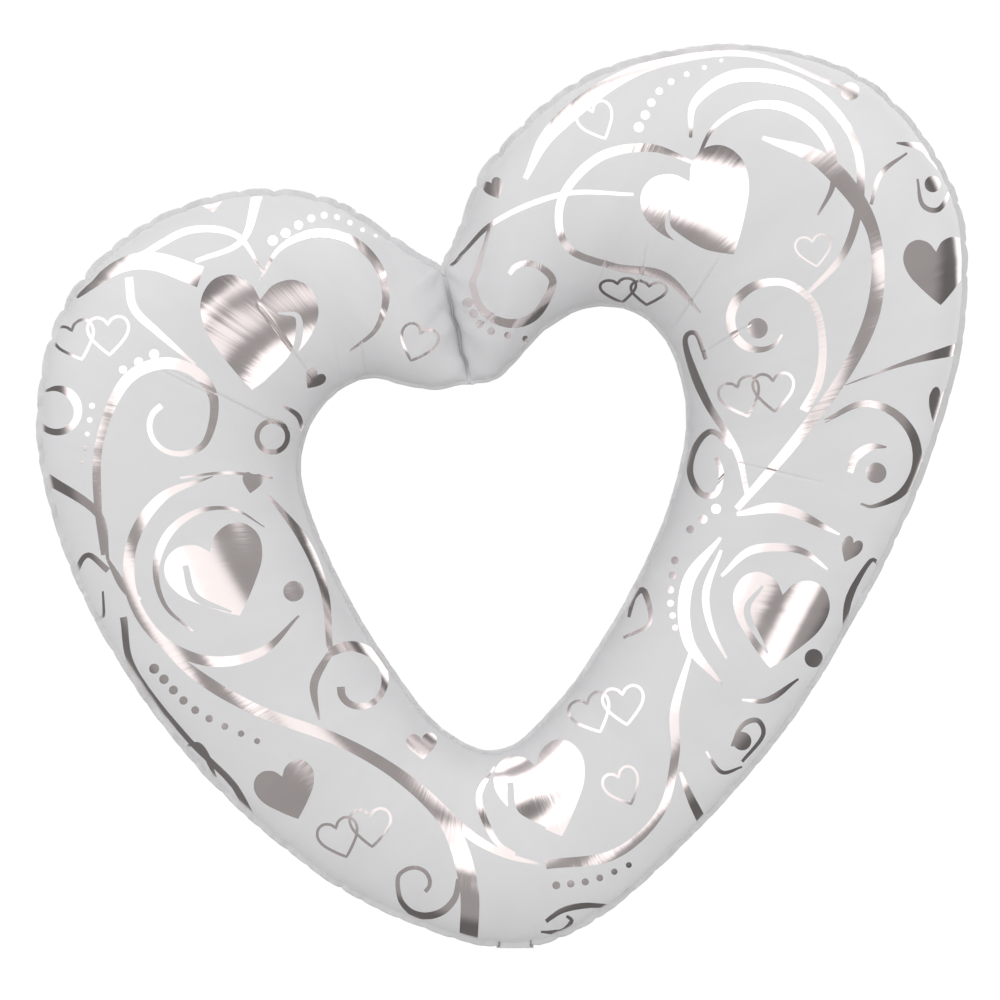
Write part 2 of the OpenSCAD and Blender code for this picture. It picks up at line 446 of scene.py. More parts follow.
def tip_print():
    stroke((5, 7, 5, 4, 4), *sweep(-90, 60, 36, 24, 10, -170),
           *sweep(-95, 60, 20, 10, -205, -400))
    stroke((2, 6, 6, 3), (-20, 175), (-35, 145), (-20, 105), (0, 90))
    stroke((4, 9, 8, 8, 10, 9), (170, 285), (155, 230), (155, 185), (140, 130), (95, 90),
           (30, 80))
    stroke((3, 8, 10), (160, 170), (170, 145), (185, 115))
    stroke((3, 6, 4), (95, 40), (65, 40), (45, 35), (30, 25))
    stroke((2, 5, 3), (25, 15), (45, 15), (55, 25), (50, 30))
    heart(30, 150, 90, 90, 20)
    stroke((6, 7, 2), (-5, 160), (0, 130), (30, 115), foil=False)
    open_heart(105, 155, 35, 35, 25)
    linked_hearts(90, 230, 40, 15, 15)
    dots(6, 4, 3, (40, 60), (75, 65), (110, 80))


def right_lobe_print():
    stroke((3, 8, 9, 8, 7, 7, 9, 2), (175, 760), (130, 775), (80, 765), (45, 725),
           (50, 680), (95, 660), (145, 650), (180, 615))
    stroke((3, 5, 9, 8, 2), *sweep(245, 750, 70, 63, 170, -40))
    stroke((3, 10, 13, 9, 8, 8, 7, 3), (170, 785), (175, 820), (215, 845), (280, 835),
           (325, 790), (335, 735), (320, 675), (280, 630))
    stroke((4, 18, 12, 14, 11, 10, 6), (240, 785), (300, 760), (345, 700), (350, 630),
           (325, 565), (275, 495), (215, 425))
    stroke((2, 5, 3), (380, 770), (355, 750), (345, 720))
    stroke((5, 16, 11, 7, 5, 4), (10, 745), (35, 790), (90, 835), (150, 860), (230, 865),
           (325, 830))
    stroke((3, 5, 5, 3), (-60, 660), (-25, 700), (45, 730), (115, 730))
    stroke((3, 6, 8, 9, 7, 5), (-25, 700), *sweep(0, 640, 42, 32, 145, 330),
           *sweep(5, 640, 32, 17, 370, 490))
    heart(185, 715, 110, 105, 30)
    stroke((2, 8, 6, 2), (150, 715), (150, 695), (180, 675), (215, 670), foil=False)
    open_heart(80, 800, 35, 35, 25)
    linked_hearts(115, 635, 35, 0, -5, flat=0.7)
    heart(-20, 735, 20, 20, 25)
    dots(8, 5, 2, (120, 795), (145, 835), (200, 860))
    dots(6, 5, 3, (-45, 625), (-30, 600), (10, 590))
    stroke((2, 5, 2), (390, 745), (395, 720), (410, 715), (420, 730), (420, 745))
    dot(405, 740, 8)
    stroke((2, 7, 3), (370, 780), (395, 775), (410, 755))
    heart(410, 655, 65, 65, 5)
    dot(325, 830, 9)
    open_heart(290, 675, 35, 30, 10, 2)


def right_side_print():
    stroke((5, 6, 7, 8, 5, 4), (225, 440), (215, 480), (185, 530), (165, 585), (175, 595),
           (185, 570))
    stroke((5, 6, 6, 4), (210, 485), (190, 500), (175, 485), (170, 460), (180, 440),
           (195, 440), (200, 460), (195, 475))
    stroke((2, 8, 9, 7, 7, 8, 9), *sweep(240, 605, 22, 34, -30, -230),
           *sweep(240, 605, 38, 60, -265, -375), (295, 550), (280, 520))
    dot(235, 600, 10)
    stroke((4, 7, 9, 8, 2), (300, 510), *sweep(340, 475, 52, 48, 95, -80), (335, 430))
    stroke((2, 9, 6), (360, 485), (345, 485), (330, 475), (325, 460))
    dot(350, 460, 10)
    stroke((1, 4, 12), (320, 545), (375, 565), (430, 580))
    stroke((4, 10, 8, 2), (215, 420), (260, 425), (315, 400))
    stroke((3, 11, 12, 10, 2), *sweep(250, 325, 88, 86, 125, 235))
    stroke((2, 6, 2), (220, 240), (245, 240), (275, 260))
    stroke((2, 7, 8, 3), (305, 365), (275, 385), (230, 385), (200, 360))
    stroke((3, 7, 6, 2), (200, 385), (185, 345), (190, 310), (205, 280))
    heart(255, 315, 95, 90, -10)
    stroke((3, 7, 2), (240, 350), (225, 325), (245, 285), foil=False)
    stroke((4, 7, 5, 3), (320, 305), (325, 340), (345, 375), (355, 365))
    stroke((3, 6, 4, 3), (110, 320), (115, 340), (125, 345), (130, 315), (105, 300))
    stroke((3, 5, 4, 3), (210, 195), (220, 215), (235, 220), (240, 205), (220, 180))
    stroke((2, 4, 2), (185, 190), (200, 170), (220, 175))
    dot(220, 200, 9)
    linked_hearts(235, 535, 40, 10, 10)
    heart(410, 525, 20, 35, -15)
    heart(325, 385, 20, 25, -25)
    dot(290, 280, 9)
    dots(3, 5, 4, (195, 425), (170, 405))
    dots(6, 4, 3, (155, 375), (150, 340), (155, 310))


left_lobe_print()
left_side_print()
tip_print()
right_lobe_print()
right_side_print()

# ------------ front view to flat film

def seen_from_front(points):
    """Where points of the film appear on the seam plane, from the camera's place."""
    near = EYE[1] / (EYE[1] - points[..., 1:2])
    eye = EYE[[0, 2]]
    return eye + (points[..., [0, 2]] - eye) * near


view = seen_from_front(plain)
view_tree = KDTree(ROWS * COLUMNS)
for index, (px, pz) in enumerate(view.reshape(-1, 2)):
    view_tree.insert((px, pz, 0), index)
view_tree.balance()


def onto_film(points):
    """Rows and columns of the film grid that lie behind points of the front view."""
    found = np.array([view_tree.find((x, z, 0))[1] for x, z in points])
    i = np.clip(found // COLUMNS, 1, ROWS - 2)
    j = np.clip(found % COLUMNS, 1, COLUMNS - 2)
    row_step = (view[i + 1, j] - view[i - 1, j]) / 2
    col_step = (view[i, j + 1] - view[i, j - 1]) / 2
    det = row_step[:, 0] * col_step[:, 1] - row_step[:, 1] * col_step[:, 0] + 1e-9
    miss = points - view[i, j]
    a = i + np.clip((miss[:, 0] * col_step[:, 1] - miss[:, 1] * col_step[:, 0]) / det, -2, 2)
    b = j + np.clip((row_step[:, 0] * miss[:, 1] - row_step[:, 1] * miss[:, 0]) / det, -1, 1)
    return np.clip(a, 0, ROWS - 1), np.clip(b, 0, COLUMNS - 1)


def flat_place(points):
    """Places on the flat film, along and across, for points of the front view."""
    a, b = onto_film(points)
    along = np.interp(a, np.arange(ROWS), run_mid)
    return np.stack([along, b / (COLUMNS - 1) * SPAN], axis=1)


def grid_place(flat):
    """Fractional rows and columns of the film grid for places on the flat film."""
    return np.interp(flat[:, 0], run_mid, np.arange(ROWS)), flat[:, 1] / SPAN * (COLUMNS - 1)


# ------------ triangles of the film

# straight creases of the front film: both ends in the front view, and the depth
CREASES = [
    ((-250, 625), (-195, 550), 2.0), ((-335, 560), (-215, 500), 1.9),
    ((-345, 560), (-295, 535), 1.2), ((130, 690), (120, 640), 1.3),
    ((200, 670), (150, 595), 1.8), ((230, 605), (180, 575), 1.6),
    ((90, 670), (80, 640), 0.9), ((-150, 590), (-145, 555), 1.1),
    ((-175, 600), (-170, 550), 0.8), ((215, 470), (185, 440), 1.0),
    ((300, 450), (215, 470), 1.1), ((-15, 620), (-40, 595), 0.8)]
CREASE_WIDE = 1.1
CREASE_STEP = 3                 # between the mesh points along a crease
CREASE_ROWS = (-3.6, -2.0, -1.1, 0, 1.1, 2.0, 3.6)


def crease_lines():
    """Lines beside every crease, so that the mesh can follow it."""
    lines = []
    for start, end, _ in CREASES:
        start, end = np.array(start, float), np.array(end, float)
        count = int(np.linalg.norm(end - start) / CREASE_STEP)
        middle = start + (end - start) * np.linspace(0, 1, count)[:, None]
        across = unit(np.array([start[1] - end[1], end[0] - start[0]]))
        for off in CREASE_ROWS:
            lines.append(middle + across * off)
    return lines


def press_creases(points, normals):
    """Presses the creases into the film and turns its normals with them."""
    seen = seen_from_front(points)
    for start, end, depth in CREASES:
        start, end = np.array(start, float), np.array(end, float)
        ahead = unit(end - start)
        across = np.array([-ahead[1], ahead[0]])
        t = (seen - start) @ ahead / np.linalg.norm(end - start)
        off = (seen - start) @ across
        fall = np.exp(-(off / CREASE_WIDE) ** 2) * np.sqrt(np.clip(4 * t * (1 - t), 0, 1))
        points = points - normals * (depth * fall)[:, None]
        slope = 2 * depth * fall * off / CREASE_WIDE ** 2
        normals = unit(normals - slope[:, None] * np.array([across[0], 0, across[1]]))
    return points, normals


def inside(points, outline):
    """Which of the points lie inside a closed outline."""
    x, y = points[:, 0], points[:, 1]
    hit = np.zeros(len(points), bool)
    for (x0, y0), (x1, y1) in zip(outline, np.roll(outline, -1, axis=0)):
        if y0 != y1:
            crosses = (y0 > y) != (y1 > y)
            hit ^= crosses & (x < (x1 - x0) * (y - y0) / (y1 - y0) + x0)
    return hit


FILM_COLUMNS, FILM_ROWS = 860, 50   # loose points of the cut film, along and across
CLEAR_OF_PRINT = 1.1                # from a loose point to the nearest outline


def cut_film():
    """Triangles of the flat film, cut along its print, and which of them are bare foil."""
    outlines = [flat_place(outline) for outline, foil in shapes]
    marks, edges = [], []
    for outline in outlines:
        first = len(marks)
        marks.extend(outline)
        count = len(outline)
        edges.extend((first + k, first + (k + 1) % count) for k in range(count))
    for line in crease_lines():
        first = len(marks)
        marks.extend(flat_place(line))
        edges.extend((first + k, first + k + 1) for k in range(len(line) - 1))
    near = KDTree(len(marks))
    for k, (t, s) in enumerate(marks):
        near.insert((t, s, 0), k)
    near.balance()
    # rows of loose points lie closer together near both seams
    x = np.linspace(0, 1, FILM_ROWS)
    levels = SPAN * (x - 0.45 * np.sin(2 * np.pi * x) / (2 * np.pi))
    loose = [(t, s) for t in np.linspace(0, LONG, FILM_COLUMNS) for s in levels
             if min(t, LONG - t, s, SPAN - s) < 1e-6
             or near.find((t, s, 0))[2] > CLEAR_OF_PRINT]
    places = [Vector((float(t), float(s))) for t, s in [*marks, *loose]]
    corners, _, faces, _, _, _ = delaunay_2d_cdt(places, edges, [], 0, 1e-3)
    flat = np.array([tuple(c) for c in corners])
    faces = np.array([f for f in faces if len(f) == 3])
    a, b, c = flat[faces[:, 0]], flat[faces[:, 1]], flat[faces[:, 2]]
    area = np.cross(b - a, c - a)
    faces[area < 0] = faces[area < 0][:, ::-1]
    faces = faces[np.abs(area) > 1e-5]
    middle = flat[faces].mean(axis=1)
    foil = np.zeros(len(faces), bool)
    for (_, bare), outline in zip(shapes, outlines):
        low, high = outline.min(axis=0), outline.max(axis=0)
        near_by = np.nonzero(((middle >= low) & (middle <= high)).all(axis=1))[0]
        foil[near_by[inside(middle[near_by], outline)]] = bare
    return flat, faces, foil


# ------------ materials

def nodes_of(name):
    """A new material, its node tree, and its shader."""
    made = bpy.data.materials.new(name)
    made.use_nodes = True
    graph = made.node_tree
    return made, graph, graph.nodes["Principled BSDF"]


def stretched_noise(graph, scale, stretch, detail, layer=None):
    """Noise that is drawn out along the second direction of the film."""
    if layer:
        source = graph.nodes.new("ShaderNodeUVMap")
        source.uv_map = layer
        start = source.outputs["UV"]
    else:
        source = graph.nodes.new("ShaderNodeTexCoord")
        start = source.outputs["Object"]
    turn = graph.nodes.new("ShaderNodeMapping")
    turn.inputs["Scale"].default_value = (scale, scale / stretch, scale)
    cloud = graph.nodes.new("ShaderNodeTexNoise")
    cloud.inputs["Scale"].default_value = 1.0
    cloud.inputs["Detail"].default_value = detail
    graph.links.new(start, turn.inputs["Vector"])
    graph.links.new(turn.outputs["Vector"], cloud.inputs["Vector"])
    return cloud.outputs["Fac"]


def ramp(graph, value, low, high, start=0.3, end=0.7):
    """A colour that runs from low to high as the value goes from start to end."""
    made = graph.nodes.new("ShaderNodeValToRGB")
    made.color_ramp.elements[0].position = start
    made.color_ramp.elements[1].position = end
    made.color_ramp.elements[0].color = (*low, 1)
    made.color_ramp.elements[1].color = (*high, 1)
    graph.links.new(value, made.inputs["Fac"])
    return made.outputs["Color"]


def spread(graph, value, low, high):
    """The value's middle range, spread from low to high."""
    made = graph.nodes.new("ShaderNodeMapRange")
    made.inputs["From Min"].default_value = 0.3
    made.inputs["From Max"].default_value = 0.7
    made.inputs["To Min"].default_value = low
    made.inputs["To Max"].default_value = high
    graph.links.new(value, made.inputs["Value"])
    return made.outputs["Result"]


def bump(graph, height, strength, distance, under=None):
    made = graph.nodes.new("ShaderNodeBump")
    made.inputs["Strength"].default_value = strength
    made.inputs["Distance"].default_value = distance
    graph.links.new(height, made.inputs["Height"])
    if under:
        graph.links.new(under, made.inputs["Normal"])
    return made.outputs["Normal"]


def film_material(name, low, high, rough, metallic, bumps, layer="film", coat=0.0,
                  shine=0.5):
    """Printed or bare film: a slightly uneven colour and gloss, and fine wrinkles."""
    made, graph, shader = nodes_of(name)
    cloud = stretched_noise(graph, 24, 2.5, 4, layer)
    fine = stretched_noise(graph, 240, 14, 3, layer)
    grain = stretched_noise(graph, 2400, 1, 2, layer)
    graph.links.new(ramp(graph, cloud, low, high), shader.inputs["Base Color"])
    graph.links.new(spread(graph, cloud, *rough), shader.inputs["Roughness"])
    under = bump(graph, fine, bumps[0], 0.001)
    graph.links.new(bump(graph, grain, bumps[1], 0.0002, under), shader.inputs["Normal"])
    shader.inputs["Metallic"].default_value = metallic
    shader.inputs["Specular IOR Level"].default_value = shine
    shader.inputs["Coat Weight"].default_value = coat
    shader.inputs["Coat Roughness"].default_value = 0.12
    return made


pearl = film_material("pearl_ink", (0.80, 0.80, 0.815), (0.835, 0.835, 0.85),
                      (0.40, 0.50), 0.0, (0.10, 0.12), coat=0.03, shine=0.12)
foil_bare = film_material("silver_foil", (0.87, 0.79, 0.785), (0.93, 0.86, 0.85),
                          (0.12, 0.19), 1.0, (0.12, 0.05))
margin = film_material("seam_film", (0.70, 0.70, 0.71), (0.78, 0.78, 0.79),
                       (0.32, 0.44), 0.15, (0.25, 0.15), coat=0.1)
valve_plastic = film_material("valve_film_soft", (0.70, 0.74, 0.76), (0.82, 0.85, 0.87),
                              (0.30, 0.45), 0.0, (0.3, 0.2), layer=None)
coating_ink = film_material("release_ink_dull", (0.10, 0.13, 0.17), (0.16, 0.19, 0.24),
                            (0.55, 0.7), 0.0, (0.2, 0.3), layer=None)

# ------------ meshes

def new_piece(name, points, faces, body, materials, normals=None, flat=None,
              parts=None):
    """A mesh piece, from points in millimetres."""
    mesh = bpy.data.meshes.new(name)
    mesh.from_pydata((np.asarray(points) * MM).tolist(), [], np.asarray(faces).tolist())
    for item in materials:
        mesh.materials.append(item)
    if parts is not None:
        mesh.polygons.foreach_set("material_index", np.asarray(parts, np.int32))
    mesh.polygons.foreach_set("use_smooth", np.ones(len(mesh.polygons), bool))
    if flat is not None:
        layer = mesh.uv_layers.new(name="film")
        corner = np.zeros(len(mesh.loops), np.int32)
        mesh.loops.foreach_get("vertex_index", corner)
        layer.data.foreach_set("uv", (flat[corner] * MM).ravel())
    mesh.update()
    if normals is not None:
        mesh.normals_split_custom_set_from_vertices(normals.tolist())
    piece = bpy.data.objects.new(name, mesh)
    bpy.context.scene.collection.objects.link(piece)
    if body:
        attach(piece, body)
    return piece


def panel(name, node, side, plan):
    """The front or back film, with its print."""
    flat, faces, foil = plan
    a, b = grid_place(flat)
    points, normals = sample(film, a, b), unit(sample(film_normals, a, b))
    if side < 0:
        points, normals = press_creases(points, normals)
    turn = np.array([1, 1, 1]) if side < 0 else np.array([1, -1, 1])
    points = points * turn
    points[:, 1] += sample(sway, a, b)
    normals = normals * turn
    p, q, r = points[faces[:, 0]], points[faces[:, 1]], points[faces[:, 2]]
    facing = (np.cross(q - p, r - p) * normals[faces[:, 0]]).sum(axis=1)
    order = faces if np.median(facing) > 0 else faces[:, ::-1]
    made = new_piece(name, points, order, BALLOON, [pearl, foil_bare],
                     normals, flat, foil.astype(int))
    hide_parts(node)


def doubled(grid, half):
    """A grid of points as a thin closed sheet, half thick to either side along Y."""
    rows, cols = grid.shape[:2]
    k = np.arange(rows * cols).reshape(rows, cols)
    front = np.stack([k[:-1, :-1], k[:-1, 1:], k[1:, 1:], k[1:, :-1]], -1).reshape(-1, 4)
    back = front[:, ::-1] + rows * cols
    edge_ring = np.concatenate([k[0, :], k[1:, -1], k[-1, -2::-1], k[-2:0:-1, 0]])
    after = np.roll(edge_ring, -1)
    rim = np.stack([after, edge_ring, edge_ring + rows * cols, after + rows * cols], -1)
    points = grid.reshape(-1, 3)
    shift = np.array([0, half, 0])
    return np.vstack([points - shift, points + shift]), np.vstack([front, back, rim])


def strips(name, node, grids, half=0.25):
    """Thin closed strips of welded film, as one piece."""
    points, faces, flats = [], [], []
    for grid in grids:
        more, sheet = doubled(grid, half)
        faces.append(sheet + sum(len(p) for p in points))
        points.append(more)
        across = np.linspace(0, 8, grid.shape[1])[None, :].repeat(len(grid), 0)
        run = lengths(grid[:, 0])[:, None].repeat(grid.shape[1], 1)
        flats.append(np.tile(np.stack([run.ravel(), across.ravel()], 1), (2, 1)))
    made = new_piece(name, np.vstack(points), np.vstack(faces), BALLOON,
                     [margin], flat=np.vstack(flats))
    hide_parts(node)


def beside_edge(column, direction, steps, pleat, seed, keep):
    """Grid of a welded margin that follows one edge of the film, in the rows to keep.

    steps are distances out from the edge, and pleat is how far the margin's rim waves.
    """
    outline = plain[:, column][:, [0, 2]]
    ahead = unit(np.gradient(outline, axis=0))
    out = np.stack([ahead[:, 1], 0 * ahead[:, 0], -ahead[:, 0]], axis=1) * direction
    edge = film[:, column] + np.array([0, 1, 0]) * sway[:, column][:, None]
    run = lengths(plain[:, column])
    reach = 1 + 0.05 * noise(run / 14, 0 * run, seed)
    wave = noise(run / 4.5, 0 * run, seed + 1) + 0.8 * noise(run / 11, 0 * run, seed + 2)
    rows = np.nonzero(keep)[0]
    grid = edge[:, None, :] + out[:, None, :] * (steps[None, :] * reach[:, None])[..., None]
    lift = pleat * wave[:, None] * np.clip(steps / steps[-1], 0, 1)[None, :]
    grid[:, :, 1] += lift
    return grid[rows[0]:rows[-1] + 1]


def add_cleft_seam():
    """A short welded strip across the cleft, which runs on a little into the opening."""
    left, right = film[0], film[-1]
    past = unit(left[0] - left[6]) * INNER_MARGIN
    left = np.vstack([left[0] + past, left[0] + past / 2, left])
    right = np.vstack([right[0] + past, right[0] + past / 2, right])
    share = np.linspace(-0.6, 1.6, 7)[None, :, None]    # 0 on the left lobe, 1 on the right
    cleft = left[:, None, :] * (1 - share) + right[:, None, :] * share
    run = lengths(left)
    cleft[:, :, 1] = 0.5 * noise(run / 8, 0 * run, 41)[:, None]
    strips("cleft_seam_margin", "cleft_seam", [cleft])


def add_seams():
    """The welded margins: the outer one in two lengths from the neck, inner and cleft."""
    outer = plain[:, -1]
    at_neck = (np.abs(outer[:, 0]) < NECK_HALF) & (outer[:, 2] < NECK_BELOW)
    middle = int(np.nonzero(at_neck)[0].mean())
    row = np.arange(ROWS)
    steps = np.array([-1.2, 0, 1.2, 2.4, 3.6, 4.8, OUTER_MARGIN])
    strips("outer_seam_margin", "outer_seam", [
        beside_edge(-1, 1, steps, pleat=0.9, seed=31, keep=~at_neck & (row < middle)),
        beside_edge(-1, 1, steps, pleat=0.9, seed=34, keep=~at_neck & (row > middle))])
    steps = np.array([-1.2, 0, 1.3, 2.6, INNER_MARGIN])
    strips("inner_seam_margin", "inner_seam", [
        beside_edge(0, -1, steps, pleat=0.6, seed=37, keep=row >= 0)])
    add_cleft_seam()


def add_panels():
    plan = cut_film()
    panel("front_film_printed", "front_panel", -1, plan)
    panel("back_film_printed", "back_panel", 1, plan)


# ------------ neck and tail

FOLD = math.radians(108)
TAIL_LONG, TAIL_HALF, TAIL_ROUND = 70.0, 18.0, 52.0
PORT_AT, PORT_R, PORT_SIDES = 57.0, 5.0, 32
NECK_EDGE = 14.2                # half the neck's width where it leaves the seam
WELD_INSIDE = 14                # the side welds lie farther out than this


def tail_line(s):
    """Y, Z and turn of the tail's middle line: down out of the seam, then up behind."""
    fine = np.linspace(-8, TAIL_LONG, 4000)
    turn = FOLD * np.clip((fine + 0.5) / 2.2, 0, 1)
    step = fine[1] - fine[0]
    y = np.cumsum(np.sin(turn)) * step
    z = 8 - np.cumsum(np.cos(turn)) * step
    curl = np.clip((fine - 30) / 40, 0, 1) ** 2
    y, z = y - 1.5 * curl, z + 2.5 * curl
    return [np.interp(s, fine, values) for values in (y, z, turn)]


def tail_outlines():
    """Outlines of the flat neck and tail, and of the inflation hole: across, along."""
    turn = np.linspace(0, np.pi, 30)
    end = np.stack([TAIL_HALF * np.cos(turn), TAIL_ROUND + TAIL_HALF * np.sin(turn)], 1)
    right = [(NECK_EDGE, -8), (NECK_EDGE, -4), (NECK_EDGE, -0.6), (TAIL_HALF, 0.6)]
    right += [(TAIL_HALF, float(s)) for s in np.linspace(2, 50, 24)]
    outline = np.vstack([right, end, [(-x, s) for x, s in right[::-1]]])
    turn = np.linspace(0, 2 * np.pi, PORT_SIDES + 1)[:-1]
    port = np.stack([PORT_R * np.cos(turn), PORT_AT + PORT_R * np.sin(turn)], 1)
    return outline, port


def cut_tail():
    """Triangles of the flat neck and tail, with finer ones at the fold."""
    outline, port = tail_outlines()
    grid = [(x, s) for x in np.linspace(-17, 17, 24) for s in np.linspace(-7.6, 69, 56)]
    fold = [(x, s) for x in np.linspace(-13.8, 13.8, 12) for s in np.linspace(-0.8, 2.2, 9)]
    loose = np.array(grid + fold)
    clear = np.linalg.norm(loose - [0, PORT_AT], axis=1) > PORT_R + 0.6
    loose = loose[clear & inside(loose, outline)]
    places = [Vector((float(x), float(s))) for x, s in np.vstack([outline, port, loose])]
    edges = [(k, (k + 1) % len(outline)) for k in range(len(outline))]
    first = len(outline)
    edges += [(first + k, first + (k + 1) % PORT_SIDES) for k in range(PORT_SIDES)]
    corners, _, faces, _, _, _ = delaunay_2d_cdt(places, edges, [], 0, 1e-4)
    flat = np.array([tuple(c) for c in corners])
    faces = np.array(faces)
    a, b, c = flat[faces[:, 0]], flat[faces[:, 1]], flat[faces[:, 2]]
    area = np.cross(b - a, c - a)
    faces[area < 0] = faces[area < 0][:, ::-1]
    middle = flat[faces].mean(axis=1)
    faces = faces[inside(middle, outline) & ~inside(middle, port)]
    used = np.unique(faces)
    return flat[used], np.searchsorted(used, faces)


def puffed_tail(flat):
    """Points of both sides of the tail, which is folded, a little puffed and creased."""
    x, s = flat[:, 0], flat[:, 1]
    y, z, bend = tail_line(s)
    normal = np.stack([0 * x, np.cos(bend), np.sin(bend)], axis=1)
    away = np.clip((np.linalg.norm(flat - [0, PORT_AT], axis=1) - PORT_R) / 9, 0, 1)
    inner = np.clip(1 - (x / 13.5) ** 2, 0, 1) * np.clip((TAIL_LONG - 3 - s) / 12, 0, 1)
    puff = 1.3 * inner ** 0.7 * away * np.clip((s - 1.5) / 14, 0, 1)
    wave = 0.55 * noise(x / 7 + 3, s / 15 + 2, 51) * np.clip((s - 2) / 12, 0, 1)
    wave += 0.35 * noise(x / 3 + 9, s / 10 + 5, 52) * np.clip((s - 2) / 12, 0, 1)
    centre = np.stack([x, y, z], axis=1) + normal * wave[:, None]
    crinkle = 0.25 * noise(x / 2.6 + 4, s / 7 + 8, 53) * inner * np.clip((s - 2) / 8, 0, 1)
    half = (0.32 + puff + crinkle)[:, None]
    return np.vstack([centre - normal * half, centre + normal * half])


def edge_walls(faces, count):
    """Triangles that join the rims of a sheet and of its copy, count points further on."""
    pairs = np.sort(np.vstack([faces[:, [0, 1]], faces[:, [1, 2]], faces[:, [2, 0]]]), 1)
    seen, counts = np.unique(pairs, axis=0, return_counts=True)
    rim = {tuple(p) for p in seen[counts == 1]}
    ways = [(int(f[k]), int(f[(k + 1) % 3])) for f in faces for k in range(3)]
    walls = []
    for p, q in ways:
        if tuple(sorted((p, q))) in rim:
            walls.append((q, p, p + count))
            walls.append((q, p + count, q + count))
    return walls


def add_tail():
    """Neck and tail as one film, which bends across the fold line."""
    flat, faces = cut_tail()
    count = len(flat)
    sheets = np.array([*faces.tolist(), *(faces[:, ::-1] + count).tolist(),
                       *edge_walls(faces, count)])
    both = np.vstack([flat, flat])
    weld = np.abs(flat[sheets % count][:, :, 0]).mean(axis=1) > WELD_INSIDE
    made = new_piece("tail_and_neck_film", puffed_tail(flat), sheets, None,
                     [pearl, margin], flat=both, parts=weld.astype(int))
    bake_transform(made)
    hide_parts("neck_front_film", "neck_back_film", "tail_front_film",
                "tail_back_film", "tail_side_welds")


def finish_valve():
    """The valve films and their release ink keep their CAD shape."""
    for name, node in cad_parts.items():
        if "valve" in name:
            node.data.materials[0] = valve_plastic
        if "coating" in name:
            node.data.materials[0] = coating_ink


add_panels()
add_seams()
add_tail()
finish_valve()

# ------------ light and surroundings

MIDDLE = (0, 0, 450)
LIGHT_SIZE = (600, 500)
LIGHT_RING = 2600               # distance of the side lights from the middle
SIDE_WATTS = (6, 3, 2, 3, 5, 5, 6, 6)   # from the right, on over the top and back round


def area_light(name, place, watts):
    """A soft box, placed in millimetres and turned to the balloon, that isn't mirrored."""
    data = bpy.data.lights.new(name, "AREA")
    data.shape = "RECTANGLE"
    data.size, data.size_y = LIGHT_SIZE[0] * MM, LIGHT_SIZE[1] * MM
    data.energy = watts
    lamp = bpy.data.objects.new(name, data)
    place, aim = Vector(place) * MM, Vector(MIDDLE) * MM
    lamp.location = place
    lamp.rotation_euler = (aim - place).to_track_quat("-Z", "Y").to_euler()
    lamp.visible_glossy = False
    lamp.visible_camera = False
    bpy.context.scene.collection.objects.link(lamp)


def direction(azimuth, angle):
    """A way out into the room: angle away from the camera's side, towards azimuth."""
    azimuth, angle = math.radians(azimuth), math.radians(angle)
    return Vector((math.sin(angle) * math.cos(azimuth), -math.cos(angle),
                   math.sin(angle) * math.sin(azimuth)))


def room(graph, start, base, patches):
    """Brightness all round: base, then soft-edged round patches laid over one another."""
    value = base
    for azimuth, angle, full, fade, bright in patches:
        facing = graph.nodes.new("ShaderNodeVectorMath")
        facing.operation = "DOT_PRODUCT"
        facing.inputs[1].default_value = direction(azimuth, angle)
        graph.links.new(start, facing.inputs[0])
        soft = graph.nodes.new("ShaderNodeMapRange")
        soft.interpolation_type = "SMOOTHSTEP"
        soft.inputs["From Min"].default_value = math.cos(math.radians(fade))
        soft.inputs["From Max"].default_value = math.cos(math.radians(full))
        graph.links.new(facing.outputs["Value"], soft.inputs["Value"])
        mix = graph.nodes.new("ShaderNodeMix")
        graph.links.new(soft.outputs["Result"], mix.inputs[0])
        if isinstance(value, float):
            mix.inputs[2].default_value = value
        else:
            graph.links.new(value, mix.inputs[2])
        mix.inputs[3].default_value = bright
        value = mix.outputs[0]
    return value


# What the bare foil mirrors: azimuth (0 right, 90 up), angle from the camera's side,
# radius where it is full, radius where it has faded, brightness.
MIRRORED = [
    (-60, 150, 50, 72, 0.13), (20, 150, 32, 48, 0.14), (195, 135, 26, 42, 0.16),
    (100, 78, 46, 60, 1.50), (158, 75, 24, 36, 1.45), (150, 28, 18, 30, 1.50),
    (-45, 8, 10, 21, 1.10), (-145, 24, 9, 17, 1.45), (106, 36, 9, 14, 0.20),
    (-38, 56, 10, 17, 1.35), (-150, 65, 6, 13, 1.25), (-95, 42, 6, 14, 1.0),
    (0, 48, 4, 10, 1.3), (38, 67, 6, 13, 1.4), (75, 80, 8, 24, 4.5),
    (60, 155, 25, 38, 1.35), (200, 165, 8, 22, 0.6)]
# What lights the ink, in the same form: mostly the camera's side, and less from below.
SOFT = [(0, 0, 20, 115, 1.06), (-90, 80, 20, 70, 0.74)]
MIRRORED_BASE, SOFT_BASE = 0.34, 0.46


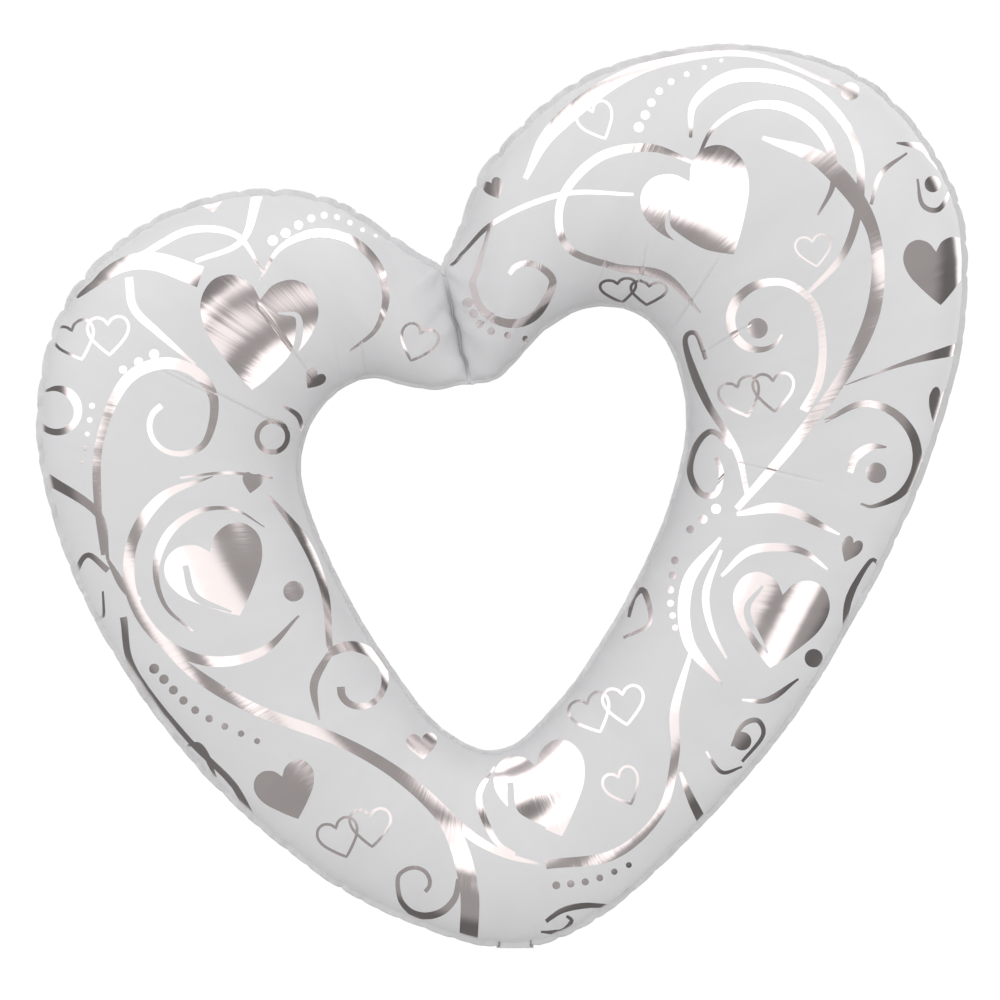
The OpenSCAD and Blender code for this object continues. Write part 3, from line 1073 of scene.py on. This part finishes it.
def studio_world():
    """A white studio. Mirrored rays see its soft boxes and dark flags, others its air."""
    world = bpy.data.worlds.new("studio")
    bpy.context.scene.world = world
    world.use_nodes = True
    graph = world.node_tree
    start = graph.nodes.new("ShaderNodeTexCoord").outputs["Generated"]
    rays = graph.nodes.new("ShaderNodeLightPath")
    pick = graph.nodes.new("ShaderNodeMixShader")
    graph.links.new(rays.outputs["Is Glossy Ray"], pick.inputs["Fac"])
    for place, base, patches in ((1, SOFT_BASE, SOFT), (2, MIRRORED_BASE, MIRRORED)):
        air = graph.nodes.new("ShaderNodeBackground")
        air.inputs["Color"].default_value = (1.0, 0.995, 0.99, 1)
        graph.links.new(room(graph, start, base, patches), air.inputs["Strength"])
        graph.links.new(air.outputs["Background"], pick.inputs[place])
    graph.links.new(pick.outputs["Shader"], graph.nodes["World Output"].inputs["Surface"])


def side_lights():
    """Soft boxes just behind the balloon's own plane, which light its outer edge."""
    for k, watts in enumerate(SIDE_WATTS):
        turn = math.radians(45 * k)
        place = (LIGHT_RING * math.cos(turn), 100, MIDDLE[2] + LIGHT_RING * math.sin(turn))
        area_light("side_light_%d" % k, place, watts)


# The stage is sized in metres.
FLOOR_R, FLOOR_Z, FLOOR_SIDES = 8, -1.3, 96
DOME_R, DOME_SIDES, DOME_RINGS = 14, 64, 32


def add_floor():
    """A pale round floor well below the balloon."""
    floor_mesh = bpy.data.meshes.new("floor")
    turn = np.linspace(0, 2 * np.pi, FLOOR_SIDES + 1)[:-1]
    disc = np.stack([FLOOR_R * np.cos(turn), FLOOR_R * np.sin(turn), 0 * turn + FLOOR_Z], 1)
    floor_mesh.from_pydata(disc.tolist(), [], [list(range(FLOOR_SIDES))])
    floor = bpy.data.objects.new("floor", floor_mesh)
    made, graph, shader = nodes_of("pale_floor")
    shade = stretched_noise(graph, 0.6, 1, 2)
    graph.links.new(ramp(graph, shade, (0.80, 0.80, 0.80), (0.84, 0.84, 0.84)),
                    shader.inputs["Base Color"])
    shader.inputs["Roughness"].default_value = 0.8
    floor_mesh.materials.append(made)
    bpy.context.scene.collection.objects.link(floor)
    floor.visible_glossy = False
    return floor


def add_surround():
    """A white ball far off all round, which only the camera sees."""
    around = np.linspace(0, 2 * np.pi, DOME_SIDES + 1)
    up = np.linspace(-np.pi / 2, np.pi / 2, DOME_RINGS + 1)
    ball = [(DOME_R * np.cos(e) * np.cos(a), DOME_R * np.cos(e) * np.sin(a),
             DOME_R * np.sin(e)) for e in up for a in around]
    k = np.arange(len(ball)).reshape(len(up), len(around))
    quads = np.stack([k[:-1, :-1], k[1:, :-1], k[1:, 1:], k[:-1, 1:]], -1).reshape(-1, 4)
    dome_mesh = bpy.data.meshes.new("surround")
    dome_mesh.from_pydata(np.array(ball).tolist(), [], quads.tolist())
    dome = bpy.data.objects.new("surround", dome_mesh)
    made, _, shader = nodes_of("white_surround")
    shader.inputs["Base Color"].default_value = (0, 0, 0, 1)
    shader.inputs["Specular IOR Level"].default_value = 0
    shader.inputs["Emission Color"].default_value = (1, 1, 1, 1)
    shader.inputs["Emission Strength"].default_value = 1.02
    dome_mesh.materials.append(made)
    bpy.context.scene.collection.objects.link(dome)
    dome.visible_diffuse = False
    dome.visible_glossy = False
    dome.visible_transmission = False
    dome.visible_shadow = False
    return dome


def add_stage():
    floor = add_floor()
    dome = add_surround()


bpy.context.scene.view_settings.view_transform = "Standard"
studio_world()
side_lights()
add_stage()
